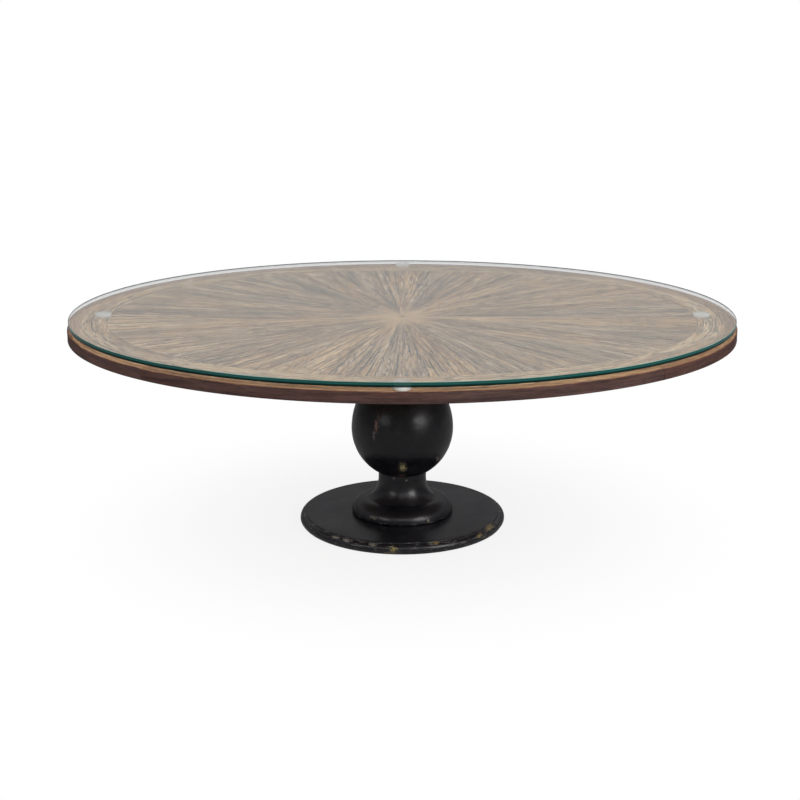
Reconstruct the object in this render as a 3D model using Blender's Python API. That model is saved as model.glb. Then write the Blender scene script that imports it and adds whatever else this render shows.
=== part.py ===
"""Oval pedestal dining table with a loose glass cover, as separate pieces.

Metres, +Z up, +X along the length of the top. The origin is on the floor
below the middle of the pedestal, and the pieces are stacked from there up.
"""
import math

import bmesh
import bpy

# Gap left between two faces that touch, and between the boards of the top
FIT = 0.0003
BOARD_GAP = 0.0008

# Oval top
TOP_LENGTH = 2.400
TOP_WIDTH = 1.950
EDGE_HEIGHT = 0.040
EDGE_ROUND = 0.005
BORDER_WIDTH = 0.140
BORDER_SHOULDER = 0.055
BORDER_WORDS = ("back", "left", "front", "right")
PLANK_COUNT = 30
PLANK_THICKNESS = 0.018
PLANK_TIP_WIDTH = 0.0010
CORE_THICKNESS = 0.021

# Glass cover and the pads it lies on
GLASS_THICKNESS = 0.017
GLASS_INSET = 0.005
GLASS_ARRIS = 0.0012
PAD_RADIUS = 0.029
PAD_THICKNESS = 0.012
PAD_FROM_END = 0.114
PAD_FROM_SIDE = 0.049
FRONT_PAD_FROM_SIDE = 0.029

# Crossed beams under the top
BEAM_WIDTH = 0.090
BEAM_DEPTH = 0.060
LONG_BEAM_LENGTH = 1.640
SHORT_BEAM_LENGTH = 1.300
BEAM_TAPER = 0.180
BEAM_TIP_DEPTH = 0.030

# Steel plate between the beams and the pedestal
PLATE_OVERHANG = 0.034
PLATE_THICKNESS = 0.008
PLATE_CORNER = 0.020

# Turned pedestal, from the floor up
BASE_RADIUS = 0.380
BASE_THICKNESS = 0.040
RIM_WIDTH = 0.022
RIM_QUIRK = 0.0025
NECK_RADIUS = 0.088
NECK_STRAIGHT = 0.025
FLARE_HEIGHT = 0.078
FLARE_SWEEP = 66
COLLAR_RADIUS = 0.187
COLLAR_HEIGHT = 0.054
COLLAR_SHOULDER = 0.057
COLLAR_UNDERCUT = 0.007
COLLAR_LEDGE = 0.004
BALL_RADIUS = 0.187
BALL_LOWER_RISE = 0.190
BALL_UPPER_RISE = 0.219
BALL_LEDGE = 0.005
CAPITAL_NECK_RADIUS = 0.085
CAPITAL_RADIUS = 0.118
CAPITAL_HEIGHT = 0.1028
CAPITAL_BAND = 0.022
SPIGOT_RADIUS = 0.050
SPIGOT_LENGTH = 0.030

# Tie rod that clamps the turned pieces together
ROD_RADIUS = 0.006
ROD_BORE_CLEARANCE = 0.0007
ROD_STICKOUT = 0.002
NUT_ACROSS_FLATS = 0.019
NUT_HEIGHT = 0.010
WASHER_RADIUS = 0.020
WASHER_THICKNESS = 0.0025
POCKET_CLEARANCE = 0.002

# Screws, one of each kind in each arm of the crossed beams
LAG_RADIUS = 0.0040
LAG_HEAD_RADIUS = 0.0075
LAG_HEAD_HEIGHT = 0.0055
LAG_BITE = 0.035
CORE_SCREW_RADIUS = 0.0025
CORE_SCREW_HEAD_RADIUS = 0.0055
CORE_SCREW_HEAD_HEIGHT = 0.0030
CORE_SCREW_BITE = 0.012
CORE_SCREW_FROM_TAPER = 0.030
ARMS = {"right": (1, 0), "back": (0, 1), "left": (-1, 0), "front": (0, -1)}

# Facets
OVAL_FACETS = 96
TURNED_FACETS = 40
BALL_ARC_FACETS = 8
BEAD_FACETS = 8
CAPITAL_FLARE_FACETS = 6
CORNER_FACETS = 3
PLANK_END_FACETS = 4
PAD_FACETS = 24
ROD_FACETS = 16
NUT_FACETS = 24
SCREW_FACETS = 8
SHARP_ANGLE = 35

# Heights above the floor, each piece resting on the one below
BASE_TOP = BASE_THICKNESS
NECK_BOTTOM = BASE_TOP + FIT
NECK_TOP = NECK_BOTTOM + COLLAR_HEIGHT + FLARE_HEIGHT + NECK_STRAIGHT
BALL_BOTTOM = NECK_TOP + FIT


def ball_rise(semi_axis, neck_radius):
    """Height from the ball's widest ring to where a neck meets it."""
    reach = (neck_radius + BALL_LEDGE) / BALL_RADIUS
    return semi_axis * math.sqrt(1.0 - reach ** 2)


BALL_MIDDLE = BALL_BOTTOM + ball_rise(BALL_LOWER_RISE, NECK_RADIUS)
BALL_TOP = BALL_MIDDLE + ball_rise(BALL_UPPER_RISE, CAPITAL_NECK_RADIUS)
CAPITAL_BOTTOM = BALL_TOP + FIT
CAPITAL_TOP = CAPITAL_BOTTOM + CAPITAL_HEIGHT
PLATE_BOTTOM = CAPITAL_TOP + FIT
PLATE_TOP = PLATE_BOTTOM + PLATE_THICKNESS
BEAM_BOTTOM = PLATE_TOP + FIT
BEAM_TOP = BEAM_BOTTOM + BEAM_DEPTH
CORE_BOTTOM = BEAM_TOP + FIT
CORE_TOP = CORE_BOTTOM + CORE_THICKNESS
PLANK_BOTTOM = CORE_TOP + FIT
WOOD_TOP = PLANK_BOTTOM + PLANK_THICKNESS
PAD_BOTTOM = WOOD_TOP + FIT
PAD_TOP = PAD_BOTTOM + PAD_THICKNESS
GLASS_BOTTOM = PAD_TOP + FIT
GLASS_TOP = GLASS_BOTTOM + GLASS_THICKNESS

# Sizes of the tie rod's holes
BORE_RADIUS = ROD_RADIUS + ROD_BORE_CLEARANCE
NUT_REACH = NUT_ACROSS_FLATS / math.sqrt(3.0)
ROD_END = NUT_HEIGHT + ROD_STICKOUT + POCKET_CLEARANCE + 2 * FIT
BASE_POCKET_ROOF = ROD_END + WASHER_THICKNESS
BEAM_POCKET_ROOF = PLATE_TOP + ROD_END

# Steel plate and its screws
PLATE_HALF = CAPITAL_RADIUS + PLATE_OVERHANG
LAG_REACH = CAPITAL_RADIUS + PLATE_OVERHANG / 2

# Colours as linear RGB, with roughness and metallic value
FINISHES = {
    "glass": ((0.62, 0.78, 0.74), 0.05, 0.0),
    "pad_silicone": ((0.80, 0.81, 0.80), 0.45, 0.0),
    "weathered_oak": ((0.31, 0.25, 0.19), 0.75, 0.0),
    "edge_stained_oak": ((0.20, 0.13, 0.09), 0.65, 0.0),
    "plain_timber": ((0.33, 0.23, 0.14), 0.80, 0.0),
    "black_painted_wood": ((0.012, 0.012, 0.014), 0.40, 0.0),
    "zinc_steel": ((0.50, 0.50, 0.51), 0.40, 1.0),
}


def clear_scene():
    """Start from an empty scene."""
    for old in list(bpy.data.objects):
        bpy.data.objects.remove(old, do_unlink=True)


def finish(name):
    """The shared material of one finish."""
    found = bpy.data.materials.get(name)
    if found:
        return found
    colour, roughness, metallic = FINISHES[name]
    made = bpy.data.materials.new(name)
    made.use_nodes = True
    shader = made.node_tree.nodes["Principled BSDF"]
    shader.inputs["Base Color"].default_value = (*colour, 1.0)
    shader.inputs["Roughness"].default_value = roughness
    shader.inputs["Metallic"].default_value = metallic
    return made


def add_piece(name, mesh_builder, finish_name, smooth=False):
    """Turn a finished bmesh into a named object of the scene."""
    bmesh.ops.recalc_face_normals(mesh_builder, faces=mesh_builder.faces[:])
    mesh = bpy.data.meshes.new(name)
    mesh_builder.to_mesh(mesh)
    mesh_builder.free()
    if smooth:
        mesh.shade_smooth()
        mesh.set_sharp_from_angle(angle=math.radians(SHARP_ANGLE))
    mesh.materials.append(finish(finish_name))
    piece = bpy.data.objects.new(name, mesh)
    bpy.context.scene.collection.objects.link(piece)
    return piece


def bridge_rings(builder, rings, closed=False):
    """Join equal closed rings of points into a skin, capped unless it closes on itself."""
    loops = [[builder.verts.new(point) for point in ring] for ring in rings]
    pairs = list(zip(loops, loops[1:]))
    if closed:
        pairs.append((loops[-1], loops[0]))
    for near, far in pairs:
        for i in range(len(near)):
            j = (i + 1) % len(near)
            builder.faces.new((near[i], near[j], far[j], far[i]))
    if not closed:
        builder.faces.new(loops[0])
        builder.faces.new(loops[-1])


def circle(radius, height, facets, centre=(0.0, 0.0)):
    """Points of a level circle."""
    turns = [2 * math.pi * k / facets for k in range(facets)]
    return [(centre[0] + radius * math.cos(a), centre[1] + radius * math.sin(a), height) for a in turns]


def oval(inset, height):
    """Points of the top's oval, drawn in by an inset."""
    turns = [2 * math.pi * k / OVAL_FACETS for k in range(OVAL_FACETS)]
    return [oval_point(inset, turn, height) for turn in turns]


def oval_point(inset, turn, height):
    """One point of the top's oval at an angle of its circle."""
    half_length = TOP_LENGTH / 2 - inset
    half_width = TOP_WIDTH / 2 - inset
    return (half_length * math.cos(turn), half_width * math.sin(turn), height)


def oval_reach(inset, heading):
    """Distance from the middle to the faceted oval along a compass heading."""
    pace = 2 * math.pi / OVAL_FACETS
    long_part = (TOP_LENGTH / 2 - inset) * math.sin(heading)
    wide_part = (TOP_WIDTH / 2 - inset) * math.cos(heading)
    facet = math.floor(math.atan2(long_part, wide_part) / pace)
    x0, y0, _ = oval_point(inset, facet * pace, 0.0)
    x1, y1, _ = oval_point(inset, (facet + 1) * pace, 0.0)
    return (x0 * y1 - x1 * y0) / ((y1 - y0) * math.cos(heading) - (x1 - x0) * math.sin(heading))


def arc(centre, radii, start, end, facets):
    """Points (radius, height) of an elliptical arc, angles in degrees."""
    steps = [math.radians(start + (end - start) * k / facets) for k in range(facets + 1)]
    return [(centre[0] + radii[0] * math.cos(a), centre[1] + radii[1] * math.sin(a)) for a in steps]


def turned(name, profile, finish_name):
    """A piece turned on the lathe from a closed profile of (radius, height)."""
    builder = bmesh.new()
    rings = []
    for k in range(TURNED_FACETS):
        turn = 2 * math.pi * k / TURNED_FACETS
        rings.append([(r * math.cos(turn), r * math.sin(turn), z) for r, z in profile])
    bridge_rings(builder, rings, closed=True)
    return add_piece(name, builder, finish_name, smooth=True)


def stacked(name, rings, finish_name):
    """A solid skinned over rings that lie one above another."""
    builder = bmesh.new()
    bridge_rings(builder, rings)
    return add_piece(name, builder, finish_name, smooth=True)


def cut_holes(target, shafts, facets):
    """Bore holes, each given as a centre, a radius, a low end and a high end."""
    builder = bmesh.new()
    for centre, radius, low, high in shafts:
        bridge_rings(builder, [circle(radius, low, facets, centre), circle(radius, high, facets, centre)])
    carve(target, builder)


def carve(target, builder):
    """Take a closed cutter out of a piece."""
    cutter = add_piece(target.name + "_cutter", builder, "plain_timber")
    cut = target.modifiers.new("cut", "BOOLEAN")
    cut.object = cutter
    cut.operation = "DIFFERENCE"
    cut.solver = "EXACT"
    shape = target.evaluated_get(bpy.context.evaluated_depsgraph_get())
    carved = bpy.data.meshes.new_from_object(shape)
    target.modifiers.remove(cut)
    target.data = carved
    carved.name = target.name
    bpy.data.objects.remove(cutter, do_unlink=True)


def glass_cover():
    """The loose glass plate, its polished edge eased at both faces."""
    rings = [
        oval(GLASS_INSET + GLASS_ARRIS, GLASS_BOTTOM),
        oval(GLASS_INSET, GLASS_BOTTOM + GLASS_ARRIS),
        oval(GLASS_INSET, GLASS_TOP - GLASS_ARRIS),
        oval(GLASS_INSET + GLASS_ARRIS, GLASS_TOP),
    ]
    stacked("glass_top", rings, "glass")


def glass_pads():
    """Four soft discs that hold the glass clear of the boards, the front one at the very edge."""
    end = TOP_LENGTH / 2 - GLASS_INSET - PAD_FROM_END
    front = GLASS_INSET + FRONT_PAD_FROM_SIDE - TOP_WIDTH / 2
    back = TOP_WIDTH / 2 - GLASS_INSET - PAD_FROM_SIDE
    places = {"left": (-end, 0.0), "right": (end, 0.0), "front": (0.0, front), "back": (0.0, back)}
    for word, centre in places.items():
        rings = [circle(PAD_RADIUS, z, PAD_FACETS, centre) for z in (PAD_BOTTOM, PAD_TOP)]
        stacked("glass_pad_" + word, rings, "pad_silicone")


def star_planks():
    """Wedge boards that meet at the middle of the top like the rays of a star."""
    step = 2 * math.pi / PLANK_COUNT
    for number in range(PLANK_COUNT):
        outline = wedge_outline(number * step, (number + 1) * step)
        rings = [[(x, y, z) for x, y in outline] for z in (PLANK_BOTTOM, WOOD_TOP)]
        builder = bmesh.new()
        bridge_rings(builder, rings)
        add_piece("star_plank_%02d" % (number + 1), builder, "weathered_oak")


def wedge_outline(first, last):
    """Outline of one wedge between two headings, half a joint short on each side."""
    half_gap = BOARD_GAP / 2
    inset = BORDER_WIDTH + BOARD_GAP
    eye = (PLANK_TIP_WIDTH + BOARD_GAP) / 2 / math.sin((last - first) / 2)
    end = [first + (last - first) * k / PLANK_END_FACETS for k in range(PLANK_END_FACETS + 1)]
    points = [shifted(eye, first, half_gap)]
    points.append(shifted(oval_reach(inset, first), first, half_gap))
    points += [shifted(oval_reach(inset, heading), heading, 0.0) for heading in end[1:-1]]
    points.append(shifted(oval_reach(inset, last), last, -half_gap))
    points.append(shifted(eye, last, -half_gap))
    return points


def shifted(reach, heading, sideways):
    """A point out along a heading, then sideways to its left."""
    x = reach * math.cos(heading) - sideways * math.sin(heading)
    y = reach * math.sin(heading) + sideways * math.cos(heading)
    return (x, y)


def border_section(turn):
    """Rebated section of a border board at one angle of the oval."""
    bottom = WOOD_TOP - EDGE_HEIGHT
    section = [(0.0, bottom), (0.0, WOOD_TOP - EDGE_ROUND), (EDGE_ROUND, WOOD_TOP)]
    section += [(BORDER_WIDTH, WOOD_TOP), (BORDER_WIDTH, PLANK_BOTTOM)]
    section += [(BORDER_SHOULDER, PLANK_BOTTOM), (BORDER_SHOULDER, bottom)]
    return [oval_point(inset, turn, height) for inset, height in section]


def joint_allowance(turn):
    """Angle of the oval taken up by half the gap between two border boards."""
    pace = math.hypot(TOP_LENGTH / 2 * math.sin(turn), TOP_WIDTH / 2 * math.cos(turn))
    return BOARD_GAP / 2 / pace


def border_boards():
    """Curved boards round the star, rebated over the core, with joints between the four sides."""
    step = 2 * math.pi / len(BORDER_WORDS)
    facets = OVAL_FACETS // len(BORDER_WORDS)
    for number, word in enumerate(BORDER_WORDS):
        start = (number + 0.5) * step
        low = start + joint_allowance(start)
        high = start + step - joint_allowance(start + step)
        rings = [border_section(low + (high - low) * k / facets) for k in range(facets + 1)]
        builder = bmesh.new()
        bridge_rings(builder, rings)
        add_piece("border_board_" + word, builder, "edge_stained_oak")


def core_screw_place(arm):
    """Centre of the screw that holds one arm of the beams to the core."""
    x, y = ARMS[arm]
    length = LONG_BEAM_LENGTH if x else SHORT_BEAM_LENGTH
    reach = length / 2 - BEAM_TAPER - CORE_SCREW_FROM_TAPER
    return (x * reach, y * reach)


def lag_place(arm):
    """Centre of the lag screw that holds the plate to one arm of the beams."""
    x, y = ARMS[arm]
    return (x * LAG_REACH, y * LAG_REACH)


def core_panel():
    """Oval panel under the star, tucked into the border's rebate."""
    inset = BORDER_SHOULDER + FIT
    core = stacked("core_panel", [oval(inset, CORE_BOTTOM), oval(inset, CORE_TOP)], "plain_timber")
    radius = CORE_SCREW_RADIUS + FIT
    depth = CORE_BOTTOM + CORE_SCREW_BITE + FIT
    holes = [(core_screw_place(arm), radius, CORE_BOTTOM - FIT, depth) for arm in ARMS]
    cut_holes(core, holes, SCREW_FACETS)


def beam(name, length, notch_on_top, along_x):
    """One crossed beam with tapered ends and its half of the lap joint."""
    half = length / 2
    notch = BEAM_WIDTH / 2 + FIT
    lap = (BEAM_BOTTOM + BEAM_TOP) / 2
    tip = BEAM_TOP - BEAM_TIP_DEPTH
    low = [(-half, tip), (-half + BEAM_TAPER, BEAM_BOTTOM), (half - BEAM_TAPER, BEAM_BOTTOM), (half, tip)]
    high = [(half, BEAM_TOP), (-half, BEAM_TOP)]
    if notch_on_top:
        step = lap - FIT / 2
        high[1:1] = [(notch, BEAM_TOP), (notch, step), (-notch, step), (-notch, BEAM_TOP)]
    else:
        step = lap + FIT / 2
        low[2:2] = [(-notch, BEAM_BOTTOM), (-notch, step), (notch, step), (notch, BEAM_BOTTOM)]
    rings = []
    for side in (-BEAM_WIDTH / 2, BEAM_WIDTH / 2):
        rings.append([(u, side, z) if along_x else (side, u, z) for u, z in low + high])
    builder = bmesh.new()
    bridge_rings(builder, rings)
    timber = add_piece(name, builder, "plain_timber")
    arms = [arm for arm, (x, _) in ARMS.items() if bool(x) == along_x]
    low = BEAM_BOTTOM - FIT
    holes = [(core_screw_place(arm), CORE_SCREW_RADIUS + FIT, low, BEAM_TOP + FIT) for arm in arms]
    holes += [(lag_place(arm), LAG_RADIUS + FIT, low, BEAM_BOTTOM + LAG_BITE + FIT) for arm in arms]
    cut_holes(timber, holes, SCREW_FACETS)
    if notch_on_top:
        pocket = NUT_REACH + POCKET_CLEARANCE
        cut_holes(timber, [((0.0, 0.0), pocket, low, BEAM_POCKET_ROOF)], ROD_FACETS)


def mount_plate():
    """Square steel plate, clamped to the pedestal by the rod and screwed up to the beams."""
    straight = PLATE_HALF - PLATE_CORNER
    outline = []
    for sx, sy, start in ((1, 1, 0), (-1, 1, 90), (-1, -1, 180), (1, -1, 270)):
        corner = (sx * straight, sy * straight)
        outline += arc(corner, (PLATE_CORNER, PLATE_CORNER), start, start + 90, CORNER_FACETS)
    rings = [[(x, y, z) for x, y in outline] for z in (PLATE_BOTTOM, PLATE_TOP)]
    plate = stacked("mount_plate", rings, "zinc_steel")
    low = PLATE_BOTTOM - FIT
    high = PLATE_TOP + FIT
    cut_holes(plate, [(lag_place(arm), LAG_RADIUS + FIT, low, high) for arm in ARMS], SCREW_FACETS)
    cut_holes(plate, [((0.0, 0.0), BORE_RADIUS, low, high)], ROD_FACETS)


def screw(name, centre, seat, head_radius, head_height, shank_radius, tip):
    """A screw driven upwards, its head under a seat and its shank ending at its tip."""
    sizes = [(head_radius, seat - head_height), (head_radius, seat)]
    sizes += [(shank_radius, seat), (shank_radius, tip)]
    rings = [circle(radius, height, SCREW_FACETS, centre) for radius, height in sizes]
    stacked(name, rings, "zinc_steel")


def screws():
    """One lag screw and one core screw in each arm of the crossed beams."""
    lag = (PLATE_BOTTOM - FIT, LAG_HEAD_RADIUS, LAG_HEAD_HEIGHT, LAG_RADIUS, BEAM_BOTTOM + LAG_BITE)
    tip = CORE_BOTTOM + CORE_SCREW_BITE
    core = (BEAM_BOTTOM - FIT, CORE_SCREW_HEAD_RADIUS, CORE_SCREW_HEAD_HEIGHT, CORE_SCREW_RADIUS, tip)
    for arm in ARMS:
        screw("lag_screw_" + arm, lag_place(arm), *lag)
        screw("core_screw_" + arm, core_screw_place(arm), *core)


def capital():
    """Turned block under the plate, with a spigot into the ball."""
    flare_top = CAPITAL_TOP - CAPITAL_BAND
    flare = (CAPITAL_RADIUS - CAPITAL_NECK_RADIUS, flare_top - CAPITAL_BOTTOM)
    spigot_end = CAPITAL_BOTTOM - SPIGOT_LENGTH
    profile = [(BORE_RADIUS, CAPITAL_TOP), (CAPITAL_RADIUS, CAPITAL_TOP)]
    profile += arc((CAPITAL_RADIUS, CAPITAL_BOTTOM), flare, 90, 180, CAPITAL_FLARE_FACETS)
    profile += [(SPIGOT_RADIUS, CAPITAL_BOTTOM), (SPIGOT_RADIUS, spigot_end), (BORE_RADIUS, spigot_end)]
    turned("capital", profile, "black_painted_wood")


def ball():
    """The turned ball, a little taller above its widest ring than below it."""
    upper = math.degrees(math.acos((CAPITAL_NECK_RADIUS + BALL_LEDGE) / BALL_RADIUS))
    lower = math.degrees(math.acos((NECK_RADIUS + BALL_LEDGE) / BALL_RADIUS))
    socket = SPIGOT_RADIUS + FIT
    low_socket = BALL_BOTTOM + SPIGOT_LENGTH + FIT
    high_socket = BALL_TOP - SPIGOT_LENGTH - FIT
    middle = (0.0, BALL_MIDDLE)
    profile = arc(middle, (BALL_RADIUS, BALL_UPPER_RISE), upper, 0, BALL_ARC_FACETS)
    profile += arc(middle, (BALL_RADIUS, BALL_LOWER_RISE), 0, -lower, BALL_ARC_FACETS)[1:]
    profile += [(socket, BALL_BOTTOM), (socket, low_socket), (BORE_RADIUS, low_socket)]
    profile += [(BORE_RADIUS, high_socket), (socket, high_socket), (socket, BALL_TOP)]
    turned("ball", profile, "black_painted_wood")


def neck_and_collar():
    """The neck below the ball, flared down to a collar with a full round shoulder."""
    collar_top = NECK_BOTTOM + COLLAR_HEIGHT
    widest = NECK_BOTTOM + COLLAR_UNDERCUT
    shoulder_radius = COLLAR_RADIUS - COLLAR_SHOULDER
    undercut_radius = COLLAR_RADIUS - COLLAR_UNDERCUT
    sweep = math.radians(FLARE_SWEEP)
    flare_width = (shoulder_radius - COLLAR_LEDGE - NECK_RADIUS) / (1.0 - math.cos(sweep))
    flare = (flare_width, FLARE_HEIGHT / math.sin(sweep))
    flare_centre = (NECK_RADIUS + flare_width, collar_top + FLARE_HEIGHT)
    spigot_end = NECK_TOP + SPIGOT_LENGTH
    profile = [(BORE_RADIUS, spigot_end), (SPIGOT_RADIUS, spigot_end), (SPIGOT_RADIUS, NECK_TOP)]
    profile += [(NECK_RADIUS, NECK_TOP)]
    profile += arc(flare_centre, flare, 180, 180 + FLARE_SWEEP, BEAD_FACETS)
    profile += arc((shoulder_radius, widest), (COLLAR_SHOULDER, collar_top - widest), 90, 0, BEAD_FACETS)
    profile += arc((undercut_radius, widest), (COLLAR_UNDERCUT, COLLAR_UNDERCUT), 0, -90, CORNER_FACETS)[1:]
    profile += [(BORE_RADIUS, NECK_BOTTOM)]
    turned("neck_and_collar", profile, "black_painted_wood")


def base_plate():
    """The round foot with a beaded rim, and a pocket below for the rod's nut."""
    roll = (BASE_THICKNESS - RIM_QUIRK) / 2
    rim = BASE_RADIUS - RIM_WIDTH
    pocket = WASHER_RADIUS + POCKET_CLEARANCE
    profile = [(BORE_RADIUS, BASE_TOP), (rim, BASE_TOP), (rim, 2 * roll)]
    profile += arc((BASE_RADIUS - roll, roll), (roll, roll), 90, -90, BEAD_FACETS)
    profile += [(pocket, 0.0), (pocket, BASE_POCKET_ROOF), (BORE_RADIUS, BASE_POCKET_ROOF)]
    turned("base_plate", profile, "black_painted_wood")


def hollow_disc(name, outer, low, high, facets):
    """A nut or washer on the rod, its outer reach given for each facet."""
    builder = bmesh.new()
    inner = ROD_RADIUS + FIT
    rings = []
    for k in range(facets):
        turn = 2 * math.pi * k / facets
        section = [(inner, low), (outer(turn), low), (outer(turn), high), (inner, high)]
        rings.append([(r * math.cos(turn), r * math.sin(turn), z) for r, z in section])
    bridge_rings(builder, rings, closed=True)
    add_piece(name, builder, "zinc_steel")


def hexagon_reach(turn):
    """Distance from a nut's axis to its six-sided outline."""
    side = math.pi / 3
    return NUT_ACROSS_FLATS / 2 / math.cos((turn + side / 2) % side - side / 2)


def washer_reach(turn):
    """A washer reaches equally far all round."""
    return WASHER_RADIUS


def tie_rod():
    """Steel rod through plate and pedestal, with a nut on the plate and one under the foot."""
    washer = BASE_POCKET_ROOF - FIT - WASHER_THICKNESS
    low_nut = washer - FIT - NUT_HEIGHT
    high_nut = PLATE_TOP + FIT
    ends = (low_nut - ROD_STICKOUT, high_nut + NUT_HEIGHT + ROD_STICKOUT)
    stacked("tie_rod", [circle(ROD_RADIUS, z, ROD_FACETS) for z in ends], "zinc_steel")
    hollow_disc("rod_washer", washer_reach, washer, washer + WASHER_THICKNESS, NUT_FACETS)
    hollow_disc("rod_nut_bottom", hexagon_reach, low_nut, low_nut + NUT_HEIGHT, NUT_FACETS)
    hollow_disc("rod_nut_top", hexagon_reach, high_nut, high_nut + NUT_HEIGHT, NUT_FACETS)


def build():
    """Make every piece of the table."""
    clear_scene()
    glass_cover()
    glass_pads()
    star_planks()
    border_boards()
    core_panel()
    beam("beam_long", LONG_BEAM_LENGTH, notch_on_top=True, along_x=True)
    beam("beam_short", SHORT_BEAM_LENGTH, notch_on_top=False, along_x=False)
    mount_plate()
    screws()
    capital()
    ball()
    neck_and_collar()
    base_plate()
    tie_rod()


build()
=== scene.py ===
"""Oval pedestal dining table under a glass cover: the looks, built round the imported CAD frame.

Metres, +Z up, +X along the length of the top, the viewer on the -Y side.
"""
import math

import bpy
import numpy as np
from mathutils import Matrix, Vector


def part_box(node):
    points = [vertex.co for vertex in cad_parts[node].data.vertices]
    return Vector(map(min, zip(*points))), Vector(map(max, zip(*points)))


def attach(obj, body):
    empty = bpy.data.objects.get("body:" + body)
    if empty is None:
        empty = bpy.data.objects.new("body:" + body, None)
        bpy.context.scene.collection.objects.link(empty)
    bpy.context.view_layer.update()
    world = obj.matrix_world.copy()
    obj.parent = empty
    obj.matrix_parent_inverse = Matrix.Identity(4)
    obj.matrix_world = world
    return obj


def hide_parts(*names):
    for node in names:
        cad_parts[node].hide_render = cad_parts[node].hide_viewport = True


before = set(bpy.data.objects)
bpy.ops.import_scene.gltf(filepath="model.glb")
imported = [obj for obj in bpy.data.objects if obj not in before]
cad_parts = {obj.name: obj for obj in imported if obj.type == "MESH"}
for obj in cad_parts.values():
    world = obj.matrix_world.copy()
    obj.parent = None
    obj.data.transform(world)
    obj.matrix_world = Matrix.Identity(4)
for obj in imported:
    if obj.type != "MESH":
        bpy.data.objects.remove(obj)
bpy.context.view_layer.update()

# The oval top, as the CAD gives it
HALF_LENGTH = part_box("border_board_right")[1].x
HALF_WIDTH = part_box("border_board_back")[1].y
WOOD_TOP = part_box("star_plank_01")[1].z
BOARD_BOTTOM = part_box("star_plank_01")[0].z
EDGE_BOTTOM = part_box("border_board_front")[0].z
GLASS_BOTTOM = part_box("glass_top")[0].z
GLASS_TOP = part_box("glass_top")[1].z
GLASS_INSET = HALF_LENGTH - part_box("glass_top")[1].x
GLASS_ARRIS = 0.0012
BORDER_WIDTH = 0.140
BORDER_SHOULDER = 0.055
BOARD_GAP = 0.0008
STAR_BOARDS = 30
STAR_TIP = 0.0010
BORDER_SIDES = ("back", "left", "front", "right")

# Relief of the weathered boards
STAR_ROWS = 150
BORDER_ROWS = 220
FILL_COLUMNS = 3
EASE_WIDTH = 0.0030
EASE_DEPTH = 0.0014
CRACK_DEPTH = 0.0024

# The turned pedestal, from the floor up
BASE_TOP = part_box("base_plate")[1].z
BASE_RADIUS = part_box("base_plate")[1].x
NECK_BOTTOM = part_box("neck_and_collar")[0].z
BALL_BOTTOM, BALL_TOP = (corner.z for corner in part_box("ball"))
BALL_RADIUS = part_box("ball")[1].x
CAPITAL_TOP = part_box("capital")[1].z
RIM_WIDTH = 0.022
RIM_QUIRK = 0.0025
QUIRK_DEPTH = 0.0068
POCKET_RADIUS = 0.022
POCKET_ROOF = 0.0171
NECK_RADIUS = 0.088
FLARE_HEIGHT = 0.078
FLARE_SWEEP = 66
COLLAR_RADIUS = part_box("neck_and_collar")[1].x
COLLAR_HEIGHT = 0.054
COLLAR_SHOULDER = 0.057
COLLAR_UNDERCUT = 0.007
COLLAR_LEDGE = 0.004
BALL_LOWER_RISE = 0.190
BALL_UPPER_RISE = 0.219
CAPITAL_NECK = 0.085
CAPITAL_RADIUS = 0.118
CAPITAL_BAND = 0.022
SPIGOT_RADIUS = 0.050
SPIGOT_LENGTH = 0.030
BORE_RADIUS = 0.0067
FIT = 0.0003
BALL_LIP = 0.005
BALL_MIDDLE = BALL_BOTTOM + BALL_LOWER_RISE * math.sqrt(
    1 - ((NECK_RADIUS + BALL_LIP) / BALL_RADIUS) ** 2)
FOOT_ARRIS = 0.0020
FOOT_ARRIS_INSET = 0.0030
QUIRK_FROM, QUIRK_TO = -0.0008, 0.0024
FOOT_LANDING = 0.010
CAPITAL_ARRIS = 0.002
ROUND_STEPS = 176

# Settings that many shader nodes share
SMOOTH = {"interpolation_type": "SMOOTHSTEP"}
COLOURS = {"data_type": "RGBA"}
NUMBERS = {"data_type": "FLOAT"}
TIMES, PLUS, MINUS, LARGER = (
    {"operation": word} for word in ("MULTIPLY", "ADD", "SUBTRACT", "MAXIMUM"))

# The photograph's camera: focal length and sideways shift in pixels of an 800 pixel frame
FRAME_PIXELS = 800.0
FOCAL_PIXELS = 1705.0
SHIFT_PIXELS = -2.3
SENSOR_WIDTH = 36.0
EYE_PLACE = (0.0, -6.01666, 2.16402)
EYE_DIP = 0.27524


def value_noise(x, y, seed, period=64):
    """Smooth noise from 0 to 1: random heights on a unit grid that repeats every period cells along x,
    joined in both directions by the easing 3t^2 - 2t^3."""
    heights = np.random.RandomState(seed).rand(period, 64)
    cell_x, cell_y = np.floor(x).astype(int), np.floor(y).astype(int)
    part_x, part_y = x - cell_x, y - cell_y
    ease_x = part_x * part_x * (3 - 2 * part_x)
    ease_y = part_y * part_y * (3 - 2 * part_y)
    left, right = cell_x % period, (cell_x + 1) % period
    low, high = cell_y % 64, (cell_y + 1) % 64
    near = heights[left, low] * (1 - ease_x) + heights[right, low] * ease_x
    far = heights[left, high] * (1 - ease_x) + heights[right, high] * ease_x
    return near * (1 - ease_y) + far * ease_y


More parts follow.
